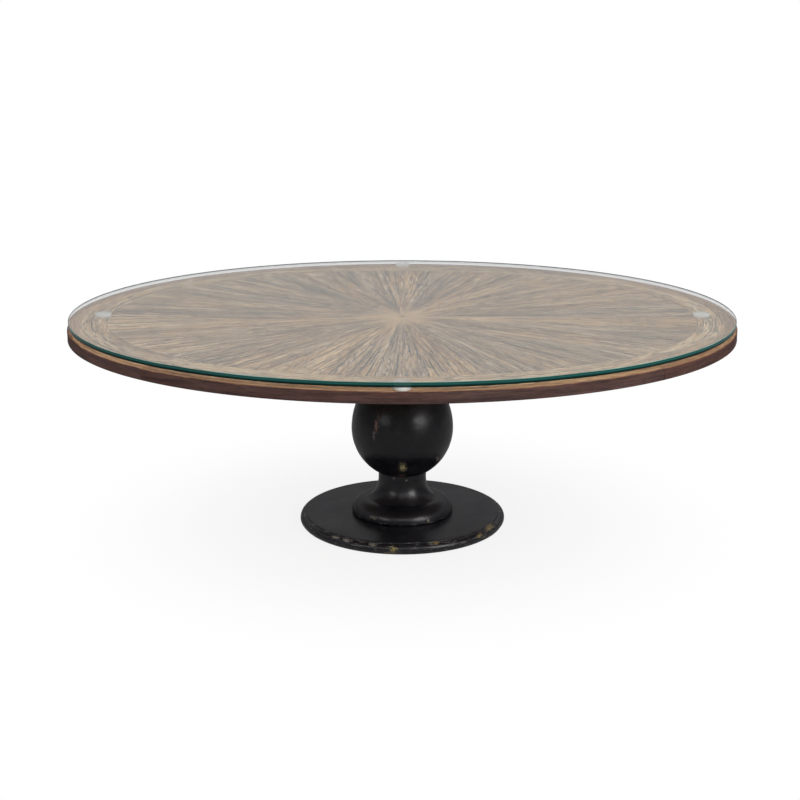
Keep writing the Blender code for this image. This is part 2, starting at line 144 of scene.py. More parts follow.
def skin(name, points, materials, rows_close=False, caps=False, cap_slot=0, quad_slot=0, sharp=40,
         **marks):
    """A closed mesh over points[row, column]: one quad for each cell, the columns closing on
    themselves. The rows close too, or the first and last row are capped. The faces are turned outwards
    by the sign of the volume that they shut in. Marks are values kept on the points for the materials
    to read. Sharp is the angle in degrees past which an edge is not smoothed."""
    rows, columns = points.shape[:2]
    index = np.arange(rows * columns).reshape(rows, columns)
    near = index if rows_close else index[:-1]
    far = np.roll(index, -1, 0) if rows_close else index[1:]
    quads = np.stack([near, np.roll(near, -1, 1), np.roll(far, -1, 1), far], -1).reshape(-1, 4)
    flat = points.reshape(-1, 3)
    a, b, c, d = (flat[quads[:, k]] for k in range(4))
    shut_in = (np.cross(a, b) * c).sum() + (np.cross(a, c) * d).sum()
    ends = [index[0][::-1], index[-1]] if caps else []
    for end in ends:
        fan = flat[end]
        shut_in += (np.cross(fan[:1], fan[1:-1]) * fan[2:]).sum()
    if shut_in < 0:
        quads = quads[:, ::-1]
        ends = [end[::-1] for end in ends]
    corners = np.concatenate([quads.ravel(), *ends])
    sizes = np.concatenate([np.full(len(quads), 4), [len(end) for end in ends]]).astype(int)
    mesh = bpy.data.meshes.new(name)
    mesh.vertices.add(len(flat))
    mesh.vertices.foreach_set("co", flat.astype(np.float32).ravel())
    mesh.loops.add(len(corners))
    mesh.loops.foreach_set("vertex_index", corners.astype(np.int32))
    mesh.polygons.add(len(sizes))
    starts = np.concatenate([[0], np.cumsum(sizes)[:-1]])
    mesh.polygons.foreach_set("loop_start", starts.astype(np.int32))
    slots = np.concatenate([np.full(len(quads), quad_slot), np.full(len(ends), cap_slot)])
    for material in materials:
        mesh.materials.append(material)
    mesh.polygons.foreach_set("material_index", slots.astype(np.int32))
    for mark, values in marks.items():
        kind, key = ("FLOAT_VECTOR", "vector") if values.ndim == 3 else ("FLOAT", "value")
        layer = mesh.attributes.new(mark, kind, "POINT")
        layer.data.foreach_set(key, values.astype(np.float32).ravel())
    mesh.update()
    mesh.shade_smooth()
    mesh.set_sharp_from_angle(angle=math.radians(sharp))
    piece = bpy.data.objects.new(name, mesh)
    bpy.context.scene.collection.objects.link(piece)
    return piece


def put_in_place(piece, body, slot, *nodes):
    """Ride a piece on its body and let it stand for its CAD nodes, which are hidden. The slot, the name of
    its finish, is not used.
    """
    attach(piece, body)
    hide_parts(*nodes)


def linear(code):
    """An sRGB hex colour as linear RGBA."""
    part = np.array([int(code[k:k + 2], 16) for k in (1, 3, 5)]) / 255.0
    return (*np.where(part <= 0.04045, part / 12.92, ((part + 0.055) / 1.055) ** 2.4), 1.0)


def add(tree, kind, settings=None, **sockets):
    """Add one node. Settings are its own properties, with a ramp's stops as (place, colour) pairs.
    Sockets are values or links, by name with _ for a space, or by number as n0, n1 and so on."""
    node = tree.nodes.new("ShaderNode" + kind)
    for key, value in (settings or {}).items():
        if key == "stops":
            points = node.color_ramp.elements
            while len(points) < len(value):
                points.new(0.5)
            for point, (place, code) in zip(points, value):
                point.position, point.color = place, linear(code)
        else:
            setattr(node, key, value)
    for key, value in sockets.items():
        numbered = key[0] == "n" and key[1:].isdigit()
        socket = node.inputs[int(key[1:]) if numbered else key.replace("_", " ")]
        if isinstance(value, bpy.types.NodeSocket):
            tree.links.new(value, socket)
        else:
            socket.default_value = value
    return node


def blank(name):
    """A new material with its node tree and its bare shader."""
    material = bpy.data.materials.new(name)
    material.use_nodes = True
    return material, material.node_tree, material.node_tree.nodes["Principled BSDF"]


def weathered_oak(name, stained_edge):
    """Old oak boards, wire-brushed and greyed by weather: pale and brown streaks and a dull dry surface.
    The open cracks and the eased sides of the boards are painted black-brown, a painted shade on top of
    the shade of their real depth. On the border the outer edge is stained mahogany brown, its upper arris
    is rubbed down to bare tan wood, and the outer band of its top, beside the glass edge, is painted a
    darker ochre as a painted shadow of the glass edge.

    The boards' grain mark holds metres along the grain, metres across it and the board's number."""
    material, tree, shader = blank(name)
    grain = add(tree, "Attribute", {"attribute_name": "grain"}).outputs["Vector"]
    crack = add(tree, "Attribute", {"attribute_name": "crack"}).outputs["Fac"]
    tone = add(tree, "Attribute", {"attribute_name": "tone"}).outputs["Fac"]
    looks = {}
    # Cells for each metre along and across the grain. Their widths: fibres 4 mm, streaks 12 mm,
    # bands 50 mm, clouds 110 mm, checks 8 mm
    for word, along, across, detail in (
        ("fibre", 26.0, 230.0, 3.0),
        ("streak", 6.5, 80.0, 4.0),
        ("band", 1.3, 20.0, 1.0),
        ("cloud", 3.0, 9.0, 2.0),
        ("check", 9.0, 130.0, 1.0),
    ):
        place = add(tree, "VectorMath", TIMES, n0=grain, n1=(along, across, 7.3))
        noise = add(tree, "TexNoise", Vector=place.outputs[0], Scale=1.0, Detail=detail, Roughness=0.6)
        looks[word] = noise.outputs[0]
    fine = add(tree, "Mix", NUMBERS, n0=0.42, n2=looks["streak"], n3=looks["fibre"]).outputs[0]
    mixed = add(tree, "Mix", NUMBERS, n0=0.28, n2=fine, n3=looks["band"]).outputs[0]
    if not stained_edge:
        # The tips of the star are rubbed plain: calm within 30 mm of the middle, full figure 0.18 m out
        out = add(tree, "SeparateXYZ", Vector=grain).outputs["X"]
        figure = add(tree, "MapRange", SMOOTH, Value=out, From_Min=0.03, From_Max=0.18).outputs[0]
        mixed = add(tree, "Mix", NUMBERS, n0=figure, n2=0.52, n3=mixed).outputs[0]
        tone = add(tree, "Mix", NUMBERS, n0=figure, n2=0.6, n3=tone).outputs[0]
    # The border's boards are a little paler than the star's
    pale = 0.03 if stained_edge else 0.0
    warm = add(tree, "ValToRGB", {"stops": (
        (0.39 - pale, "#5C3F27"), (0.47 - pale, "#B28B5E"),
        (0.53 - pale, "#D1AA76"), (0.61 - pale, "#F2D8AA"))}, Fac=mixed).outputs[0]
    grey = add(tree, "ValToRGB", {"stops": (
        (0.39 - pale, "#47382A"), (0.47 - pale, "#957D5E"),
        (0.53 - pale, "#B29877"), (0.61 - pale, "#D6C3A3"))}, Fac=mixed).outputs[0]
    clouds = add(tree, "MapRange", Value=looks["cloud"], From_Min=0.36, From_Max=0.64,
                 To_Min=-0.35, To_Max=0.35).outputs[0]
    warmth = add(tree, "Math", {"operation": "ADD", "use_clamp": True}, n0=tone, n1=clouds).outputs[0]
    colour = add(tree, "Mix", COLOURS, n0=warmth, n6=grey, n7=warm).outputs[2]
    # Hairline checks: the thin lines where a stretched noise crosses one half, broken up by the streaks
    off = add(tree, "Math", MINUS, n0=looks["check"], n1=0.5).outputs[0]
    size = add(tree, "Math", {"operation": "ABSOLUTE"}, n0=off).outputs[0]
    line = add(tree, "MapRange", SMOOTH, Value=size, From_Min=0.0, From_Max=0.13,
               To_Min=0.95, To_Max=0.0).outputs[0]
    breaks = add(tree, "MapRange", Value=looks["streak"], From_Min=0.44, From_Max=0.54).outputs[0]
    line = add(tree, "Math", TIMES, n0=line, n1=breaks).outputs[0]
    if not stained_edge:
        line = add(tree, "Math", TIMES, n0=line, n1=figure).outputs[0]
    colour = add(tree, "Mix", COLOURS, n0=line, n6=colour, n7=linear("#3A2C22")).outputs[2]
    # Knots: dark smudges some 60 mm long, one to every 0.3 m of board
    place = add(tree, "VectorMath", TIMES, n0=grain, n1=(3.0, 11.0, 7.3)).outputs[0]
    spot = add(tree, "TexVoronoi", {"feature": "F1"}, Vector=place, Scale=1.0, Randomness=1.0)
    knot = add(tree, "MapRange", SMOOTH, Value=spot.outputs["Distance"], From_Min=0.05, From_Max=0.22,
               To_Min=0.55, To_Max=0.0).outputs[0]
    colour = add(tree, "Mix", COLOURS, n0=knot, n6=colour, n7=linear("#6A5444")).outputs[2]
    # Painted shade: the crack mark turns the open cracks and eased board sides near black, on top of the
    # shade of their real depth
    crack_shade = add(tree, "MapRange", SMOOTH, Value=crack, From_Min=0.02, From_Max=0.16,
               To_Min=0.0, To_Max=0.97).outputs[0]
    colour = add(tree, "Mix", COLOURS, n0=crack_shade, n6=colour, n7=linear("#1E1611")).outputs[2]
    if stained_edge:
        below = add(tree, "Attribute", {"attribute_name": "below_arris"}).outputs["Fac"]
        ragged = add(tree, "VectorMath", TIMES, n0=grain, n1=(26.0, 60.0, 7.3)).outputs[0]
        bite = add(tree, "TexNoise", Vector=ragged, Scale=1.0, Detail=3.0, Roughness=0.6).outputs[0]
        shift = add(tree, "MapRange", Value=bite, From_Min=0.3, From_Max=0.7,
                    To_Min=-0.0015, To_Max=0.0015).outputs[0]
        level = add(tree, "Math", PLUS, n0=below, n1=shift).outputs[0]
        # Painted shadow: the border's top turns a darker ochre over its outer 60 mm, fading in from 60 mm
        # to 20 mm, for the shadow of the glass edge above it
        glass_edge_shadow = add(tree, "MapRange", SMOOTH, Value=level, From_Min=-0.060,
                      From_Max=-0.020, To_Min=0.0, To_Max=0.8).outputs[0]
        ochre = add(tree, "ValToRGB", {"stops": (
            (0.39, "#3B2516"), (0.47, "#80593A"), (0.53, "#9D7652"), (0.61, "#C39A70"))},
            Fac=mixed).outputs[0]
        colour = add(tree, "Mix", COLOURS, n0=glass_edge_shadow, n6=colour, n7=ochre).outputs[2]
        rubbed = add(tree, "MapRange", SMOOTH, Value=level, From_Min=-0.003,
                     From_Max=0.001, To_Min=0.0, To_Max=0.8).outputs[0]
        bare = add(tree, "ValToRGB", {"stops": (
            (0.39, "#5C3727"), (0.50, "#8E6046"), (0.61, "#B48564"))}, Fac=mixed).outputs[0]
        colour = add(tree, "Mix", COLOURS, n0=rubbed, n6=colour, n7=bare).outputs[2]
        stained = add(tree, "MapRange", SMOOTH, Value=level, From_Min=0.0015,
                      From_Max=0.0050, To_Min=0.0, To_Max=1.0).outputs[0]
        stain = add(tree, "ValToRGB", {"stops": (
            (0.36, "#2F2120"), (0.48, "#4E3A36"), (0.56, "#5C4540"), (0.66, "#6E5148"))},
            Fac=mixed).outputs[0]
        red = add(tree, "Mix", {"data_type": "RGBA", "blend_type": "MULTIPLY"}, n0=warmth, n6=stain,
                  n7=linear("#F6DACD")).outputs[2]
        colour = add(tree, "Mix", COLOURS, n0=stained, n6=colour, n7=red).outputs[2]
    tree.links.new(colour, shader.inputs["Base Color"])
    rough = add(tree, "MapRange", Value=looks["fibre"], From_Min=0.3, From_Max=0.7,
                To_Min=0.58, To_Max=0.80).outputs[0]
    tree.links.new(rough, shader.inputs["Roughness"])
    ridge = add(tree, "Math", MINUS, n0=mixed, n1=line).outputs[0]
    bump = add(tree, "Bump", Strength=0.55, Distance=0.0012, Height=ridge).outputs[0]
    tree.links.new(bump, shader.inputs["Normal"])
    shader.inputs["Specular IOR Level"].default_value = 0.3
    return material


# Paint chips on the pedestal: middle, reach along X, Y and Z, and the wood that shows
PAINT_CHIPS = (
    ((-0.0850, -0.152, 0.436), (0.0040, 0.03, 0.026), "#4C4036"),
    ((-0.0940, -0.154, 0.4090), (0.0070, 0.03, 0.026), "#775448"),
    ((-0.1020, -0.153, 0.380), (0.0050, 0.03, 0.020), "#625658"),
    ((0.0000, -0.150, 0.255), (0.018, 0.05, 0.030), "#57503A"),
    ((0.0010, -0.150, 0.252), (0.010, 0.05, 0.016), "#96895F"),
    ((-0.0020, -0.110, 0.210), (0.014, 0.03, 0.008), "#5C4038"),
    ((0.128, -0.100, 0.270), (0.006, 0.03, 0.014), "#6A5A50"),
    ((-0.0325, -0.376, 0.024), (0.014, 0.02, 0.010), "#91804F"),
    ((-0.0450, -0.376, 0.011), (0.034, 0.02, 0.003), "#6F6046"),
    ((-0.104, -0.357, 0.033), (0.016, 0.02, 0.004), "#7C7468"),
    ((-0.199, -0.314, 0.034), (0.022, 0.02, 0.004), "#88827A"),
    ((-0.238, -0.286, 0.034), (0.020, 0.02, 0.004), "#88827A"),
    ((0.1185, -0.348, 0.037), (0.014, 0.02, 0.004), "#8E7C56"),
    ((0.277, -0.2575, 0.030), (0.016, 0.03, 0.006), "#84724E"),
    ((0.314, -0.180, 0.035), (0.020, 0.04, 0.005), "#93825C"),
    ((-0.105, -0.152, 0.062), (0.018, 0.02, 0.005), "#665E56"),
    ((0.094, -0.160, 0.055), (0.006, 0.02, 0.006), "#86796A"),
    ((-0.030, -0.083, 0.190), (0.004, 0.02, 0.005), "#6E6056"),
    ((0.015, -0.087, 0.183), (0.004, 0.02, 0.005), "#6E6056"),
)


def black_painted_wood():
    """Turned hardwood under black satin paint, rubbed and knocked: near black with a soft sheen, greyer on
    beads and arrises, partly rubbed paint and partly a painted highlight, and tan wood in the chips."""
    material, tree, shader = blank("black_satin_paint_on_turned_wood")
    place = add(tree, "TexCoord").outputs["Object"]
    # Turning marks and brush strokes lie level, some 6 mm apart; the rubbed haze is about 90 mm wide
    level = add(tree, "VectorMath", TIMES, n0=place, n1=(14.0, 14.0, 170.0)).outputs[0]
    stroke = add(tree, "TexNoise", Vector=level, Scale=1.0, Detail=3.0, Roughness=0.6).outputs[0]
    haze = add(tree, "TexNoise", Vector=place, Scale=11.0, Detail=4.0, Roughness=0.6).outputs[0]
    grit = add(tree, "TexNoise", Vector=place, Scale=160.0, Detail=3.0, Roughness=0.65).outputs[0]
    colour = add(tree, "ValToRGB", {"stops": (
        (0.30, "#0B0A0E"), (0.50, "#121217"), (0.62, "#1A191E"), (0.76, "#252429"))},
        Fac=haze).outputs[0]
    # Beads and arrises are greyer, partly rubbed paint and partly a painted highlight of the bead, with
    # pale scratches 28 mm long and 4 mm wide round them
    wear = add(tree, "Attribute", {"attribute_name": "wear"}).outputs["Fac"]
    round_it = add(tree, "VectorMath", TIMES, n0=place, n1=(35.0, 35.0, 260.0)).outputs[0]
    scratch = add(tree, "TexNoise", Vector=round_it, Scale=1.0, Detail=3.0, Roughness=0.65).outputs[0]
    for code, start, end, most in (("#36353A", 0.42, 0.62, 0.7), ("#8A857C", 0.58, 0.66, 0.85)):
        shown = add(tree, "MapRange", SMOOTH, Value=scratch, From_Min=start, From_Max=end,
                    To_Min=0.0, To_Max=most).outputs[0]
        share = add(tree, "Math", TIMES, n0=shown, n1=wear).outputs[0]
        colour = add(tree, "Mix", COLOURS, n0=share, n6=colour, n7=linear(code)).outputs[2]
    # Specks: small scars some 3 mm wide, only where the haze is worn
    scar = add(tree, "MapRange", SMOOTH, Value=grit, From_Min=0.68, From_Max=0.74).outputs[0]
    worn = add(tree, "MapRange", SMOOTH, Value=haze, From_Min=0.52, From_Max=0.70).outputs[0]
    speck = add(tree, "Math", TIMES, n0=scar, n1=worn).outputs[0]
    colour = add(tree, "Mix", COLOURS, n0=speck, n6=colour, n7=linear("#77685A")).outputs[2]
    flake = add(tree, "TexNoise", Vector=place, Scale=150.0, Detail=4.0, Roughness=0.65).outputs[0]
    fringe = add(tree, "MapRange", Value=flake, From_Min=0.3, From_Max=0.7,
                 To_Min=-0.8, To_Max=0.8).outputs[0]
    bared = None
    for middle, reach, code in PAINT_CHIPS:
        away = add(tree, "VectorMath", MINUS, n0=place, n1=middle).outputs[0]
        scaled = add(tree, "VectorMath", {"operation": "DIVIDE"}, n0=away, n1=reach).outputs[0]
        far = add(tree, "VectorMath", {"operation": "LENGTH"}, n0=scaled).outputs["Value"]
        edge = add(tree, "Math", PLUS, n0=far, n1=fringe).outputs[0]
        chip = add(tree, "MapRange", SMOOTH, Value=edge, From_Min=0.45, From_Max=1.0,
                   To_Min=0.9, To_Max=0.0).outputs[0]
        colour = add(tree, "Mix", COLOURS, n0=chip, n6=colour, n7=linear(code)).outputs[2]
        bared = chip if bared is None else add(tree, "Math", LARGER, n0=bared, n1=chip).outputs[0]
    tree.links.new(colour, shader.inputs["Base Color"])
    sheen = add(tree, "MapRange", Value=haze, From_Min=0.3, From_Max=0.7,
                To_Min=0.26, To_Max=0.38).outputs[0]
    dull = add(tree, "Mix", NUMBERS, n0=bared, n2=sheen, n3=0.8).outputs[0]
    tree.links.new(dull, shader.inputs["Roughness"])
    coat = add(tree, "Mix", NUMBERS, n0=0.35, n2=stroke, n3=grit).outputs[0]
    height = add(tree, "Math", MINUS, n0=coat, n1=bared).outputs[0]
    bump = add(tree, "Bump", Strength=0.25, Distance=0.0008, Height=height).outputs[0]
    tree.links.new(bump, shader.inputs["Normal"])
    shader.inputs["Specular IOR Level"].default_value = 0.52
    return material


def sawn_timber(name, turn):
    """Bare sawn softwood under the top: brown, painted darker than bare timber as a painted shade of the
    underside, dry, with grain 9 mm wide and fine saw lines across it. Turn is the heading of the grain in
    the plan."""
    material, tree, shader = blank(name)
    place = add(tree, "TexCoord").outputs["Object"]
    laid = add(tree, "Mapping", {"vector_type": "TEXTURE"}, Vector=place,
               Rotation=(0.0, 0.0, turn)).outputs[0]
    long = add(tree, "VectorMath", TIMES, n0=laid, n1=(3.0, 110.0, 110.0)).outputs[0]
    grain = add(tree, "TexNoise", Vector=long, Scale=1.0, Detail=3.0, Roughness=0.6,
                Distortion=0.6).outputs[0]
    broad = add(tree, "TexNoise", Vector=laid, Scale=7.0, Detail=3.0, Roughness=0.5).outputs[0]
    both = add(tree, "Mix", NUMBERS, n0=0.35, n2=grain, n3=broad).outputs[0]
    # The ramp is darker than bare timber: painted shade of the underside of the top
    colour = add(tree, "ValToRGB", {"stops": (
        (0.30, "#5A432C"), (0.48, "#7C6045"), (0.60, "#8F7455"), (0.76, "#A38A68"))},
        Fac=both).outputs[0]
    tree.links.new(colour, shader.inputs["Base Color"])
    across = add(tree, "VectorMath", TIMES, n0=laid, n1=(420.0, 9.0, 9.0)).outputs[0]
    saw = add(tree, "TexNoise", Vector=across, Scale=1.0, Detail=1.0).outputs[0]
    height = add(tree, "Math", PLUS, n0=both, n1=saw).outputs[0]
    bump = add(tree, "Bump", Strength=0.4, Distance=0.0006, Height=height).outputs[0]
    tree.links.new(bump, shader.inputs["Normal"])
    shader.inputs["Roughness"].default_value = 0.82
    return material


def zinc_steel():
    """Steel plated with zinc: a cool grey metal, cloudy, with a faint 4 mm crystal pattern."""
    material, tree, shader = blank("zinc_plated_steel")
    place = add(tree, "TexCoord").outputs["Object"]
    spangle = add(tree, "TexVoronoi", Vector=place, Scale=250.0).outputs["Color"]
    cloud = add(tree, "TexNoise", Vector=place, Scale=45.0, Detail=3.0).outputs[0]
    crystal = add(tree, "RGBToBW", Color=spangle).outputs[0]
    both = add(tree, "Mix", NUMBERS, n0=0.3, n2=cloud, n3=crystal).outputs[0]
    colour = add(tree, "ValToRGB", {"stops": (
        (0.3, "#8E9092"), (0.5, "#AEB0B1"), (0.7, "#C6C7C6"))}, Fac=both).outputs[0]
    tree.links.new(colour, shader.inputs["Base Color"])
    rough = add(tree, "MapRange", Value=both, From_Min=0.3, From_Max=0.7,
                To_Min=0.32, To_Max=0.52).outputs[0]
    tree.links.new(rough, shader.inputs["Roughness"])
    shader.inputs["Metallic"].default_value = 1.0
    return material


def silicone(name, cover):
    """Soft moulded silicone: milky, half clear and dull, with a fine grain of 1 mm. Where it lies wetted
    against the glass it is clearer. Cover is how much of what lies behind it the milk hides."""
    material, tree, shader = blank(name)
    place = add(tree, "TexCoord").outputs["Object"]
    grain = add(tree, "TexNoise", Vector=place, Scale=900.0, Detail=2.0).outputs[0]
    cloud = add(tree, "TexNoise", Vector=place, Scale=60.0, Detail=2.0).outputs[0]
    colour = add(tree, "ValToRGB", {"stops": (
        (0.3, "#E6EBEA"), (0.7, "#F4F7F6"))}, Fac=cloud).outputs[0]
    tree.links.new(colour, shader.inputs["Base Color"])
    bump = add(tree, "Bump", Strength=0.2, Distance=0.0003, Height=grain).outputs[0]
    tree.links.new(bump, shader.inputs["Normal"])
    shader.inputs["Roughness"].default_value = 0.5
    shader.inputs["Alpha"].default_value = cover
    return material


def clear_glass():
    """Clear float glass, flat and polished: it mirrors the room at a low angle and lets light fall
    through."""
    material, tree, shader = blank("clear_float_glass")
    place = add(tree, "TexCoord").outputs["Object"]
    # Float glass is barely wavy: ripples about 0.5 m long
    ripple = add(tree, "TexNoise", Vector=place, Scale=2.0, Detail=1.0).outputs[0]
    bump = add(tree, "Bump", Strength=0.02, Distance=0.001, Height=ripple).outputs[0]
    tree.links.new(bump, shader.inputs["Normal"])
    shader.inputs["Base Color"].default_value = linear("#FDFEFD")
    shader.inputs["Roughness"].default_value = 0.0
    shader.inputs["IOR"].default_value = 1.52
    shader.inputs["Transmission Weight"].default_value = 1.0
    path = add(tree, "LightPath")
    through = add(tree, "BsdfTransparent", Color=linear("#FFFFFF")).outputs[0]
    soft = add(tree, "MixShader", n0=path.outputs["Is Diffuse Ray"], n1=shader.outputs[0],
               n2=through).outputs[0]
    whole = add(tree, "MixShader", n0=path.outputs["Is Shadow Ray"], n1=soft, n2=through).outputs[0]
    tree.links.new(whole, tree.nodes["Material Output"].inputs["Surface"])
    return material


def glass_edge():
    """The polished edge of the glass, where light comes through metres of it: deep blue-green, darkest
    low down, a painted highlight along the upper arris, and a milky patch where a pad lies close behind it."""
    material, tree, shader = blank("polished_green_glass_edge")
    place = add(tree, "TexCoord").outputs["Object"]
    part = add(tree, "SeparateXYZ", Vector=place)
    rise = add(tree, "MapRange", Value=part.outputs["Z"], From_Min=GLASS_BOTTOM,
               From_Max=GLASS_TOP).outputs[0]
    drift = add(tree, "TexNoise", Vector=place, Scale=5.0, Detail=3.0).outputs[0]
    wave = add(tree, "MapRange", Value=drift, From_Min=0.3, From_Max=0.7,
               To_Min=-0.05, To_Max=0.05).outputs[0]
    height = add(tree, "Math", PLUS, n0=rise, n1=wave).outputs[0]
    # The two palest stops at the top are a painted highlight along the upper arris
    colour = add(tree, "ValToRGB", {"stops": (
        (0.0, "#010B0B"), (0.24, "#03201D"), (0.44, "#0D3530"), (0.60, "#265C56"), (0.76, "#1D4C46"),
        (0.91, "#1B4640"), (0.975, "#7FA39B"), (1.0, "#93B3AB"))}, Fac=height).outputs[0]
    aside = add(tree, "Math", {"operation": "ABSOLUTE"}, n0=part.outputs["X"]).outputs[0]
    pad = add(tree, "MapRange", SMOOTH, Value=aside, From_Min=0.022, From_Max=0.030,
              To_Min=0.04, To_Max=0.0).outputs[0]
    colour = add(tree, "Mix", COLOURS, n0=pad, n6=colour, n7=linear("#A9C7C2")).outputs[2]
    tree.links.new(colour, shader.inputs["Base Color"])
    shader.inputs["Roughness"].default_value = 0.08
    shader.inputs["Specular IOR Level"].default_value = 0.2
    return material


def arc(centre, reach, start, end, count):
    """Points (radius, height) of an elliptical arc: centre + reach * (cos a, sin a), a in degrees."""
    turn = np.radians(np.linspace(start, end, count))
    return np.stack([centre[0] + reach[0] * np.cos(turn), centre[1] + reach[1] * np.sin(turn)], -1)


def straight(start, end, count):
    """Points evenly along a straight line, without its end."""
    share = np.linspace(0.0, 1.0, count, endpoint=False)[:, None]
    return np.asarray(start) * (1 - share) + np.asarray(end) * share


def oval(inset, turn):
    """Points of the top's oval drawn in by an inset: ((L - inset) cos t, (W - inset) sin t)."""
    return (HALF_LENGTH - inset) * np.cos(turn), (HALF_WIDTH - inset) * np.sin(turn)


def cracked_columns(along, width, count, seed):
    """Where the columns of a cracked board lie across it, from 0 to 1, row by row, and how deep each is.

    Each crack wanders about its own lane, opens and shuts again along the board as the square root of a
    parabola, and has a column on its floor and one on each lip. A lip lies the crack's half width from
    the floor. Even columns fill the space between two cracks, and the board's two sides are eased."""
    rng = np.random.RandomState(seed)
    rows = along.shape[0]
    lanes = (np.arange(count) + 0.5 + rng.uniform(-0.15, 0.15, count)) / count
    start, length = rng.uniform(0.03, 0.80, count), rng.uniform(0.14, 0.55, count)
    half_width, depth = rng.uniform(0.0018, 0.0036, count), rng.uniform(0.35, 1.0, count)
    row_place, lane_place = along * 6 + np.zeros((1, count)), np.arange(count) * 3.7 + np.zeros((rows, 1))
    wander = value_noise(row_place, lane_place, seed) - 0.5
    floor = lanes + wander * 0.24 / count
    ran = (along - start) / length
    openness = np.sqrt(np.clip(4 * ran * (1 - ran), 0, 1)) * depth
    lip = np.clip(half_width * (0.25 + openness) / width, 0.01 / count, 0.22 / count)
    ease = np.clip(EASE_WIDTH / width, 0.01 / count, 0.12 / count)[:, 0]
    zero, one = np.zeros(rows), np.ones(rows)
    places, opens, sides = [zero, ease * 0.4, ease], [zero] * 3, [one, one * 0.25, zero]
    for k in range(count + 1):
        low = places[-1]
        high = floor[:, k] - lip[:, k] if k < count else 1 - ease
        for step in range(1, FILL_COLUMNS + 1):
            places.append(low + (high - low) * step / (FILL_COLUMNS + 1))
            opens.append(zero)
            sides.append(zero)
        if k < count:
            places += [high, floor[:, k], floor[:, k] + lip[:, k]]
            opens += [zero, openness[:, k], zero]
            sides += [zero] * 3
    places += [1 - ease, 1 - ease * 0.4, one]
    opens += [zero] * 3
    sides += [zero, one * 0.25, one]
    return np.stack(places, 1), np.stack(opens, 1), np.stack(sides, 1)


def sunk(metres_along, metres_across, opens, sides, width, seed):
    """How far a weathered face lies below the board's full height: brushed ridges, the open cracks and
    the eased sides added up, all fading out where the board is narrower than 25 mm."""
    ridges = value_noise(metres_along * 3, metres_across * 110, seed + 1) * 0.0005
    hollows = value_noise(metres_along * 2, metres_across * 16, seed + 2) * 0.0007
    fade = np.clip(width / 0.025, 0, 1)
    return (ridges + hollows + opens * CRACK_DEPTH + sides * EASE_DEPTH) * fade


def star_board(number, material):
    """One wedge of the star: straight lines from its narrow tip at the middle to its end on the inner
    oval, half a joint short of its neighbours on each side. The reach at heading h is
    1 / |(cos h / L, sin h / W)|."""
    step = 2 * math.pi / STAR_BOARDS
    first, seed = number * step, 900 + 31 * number
    half_gap = BOARD_GAP / 2
    inset = BORDER_WIDTH + BOARD_GAP
    eye = (STAR_TIP + BOARD_GAP) / 2 / math.sin(step / 2)
    rng = np.random.RandomState(seed)
    along = np.linspace(0.0, 1.0, STAR_ROWS)[:, None]
    mid = first + step / 2
    full = 1 / math.hypot(math.cos(mid) / (HALF_LENGTH - inset), math.sin(mid) / (HALF_WIDTH - inset))
    width = 2 * (eye + along * (full - eye)) * math.tan(step / 2)
    across, opens, sides = cracked_columns(along, width, rng.randint(9, 13), seed)
    heading = first + across * step
    reach = 1 / np.hypot(
        np.cos(heading) / (HALF_LENGTH - inset), np.sin(heading) / (HALF_WIDTH - inset))
    out = eye + along * (reach - eye)
    aside = half_gap * (1 - 2 * across)
    x = out * np.cos(heading) - aside * np.sin(heading)
    y = out * np.sin(heading) + aside * np.cos(heading)
    long = x * math.cos(mid) + y * math.sin(mid)
    wide = (across - 0.5) * width
    drop = sunk(long, wide, opens, sides, width, seed) + rng.uniform(0, 0.0004)
    top = np.stack([x, y, WOOD_TOP - drop], -1)
    under = np.stack([x, y, np.full_like(x, BOARD_BOTTOM)], -1)[:, [-1, 0]]
    curl = 0.008 * value_noise(long * 5, wide * 25, seed + 3)
    marks = np.stack([long, wide + curl, np.full_like(x, number + 1.0)], -1)
    # How dark the cracks and eased sides are painted: painted shade by depth, faded out on boards narrower
    # than 14 mm
    deep = (opens + 0.5 * sides) * np.clip((width - 0.014) / 0.022, 0, 1)
    piece = skin(
        "star_board_%02d" % (number + 1), np.concatenate([top, under], 1), [material], caps=True,
        grain=np.concatenate([marks, marks[:, [-1, 0]]], 1),
        crack=np.concatenate([deep, deep[:, [-1, 0]]], 1),
        tone=np.full((STAR_ROWS, x.shape[1] + 2), rng.uniform(0.0, 1.0)),
    )
    put_in_place(piece, "table", "weathered_oak", "star_plank_%02d" % (number + 1))


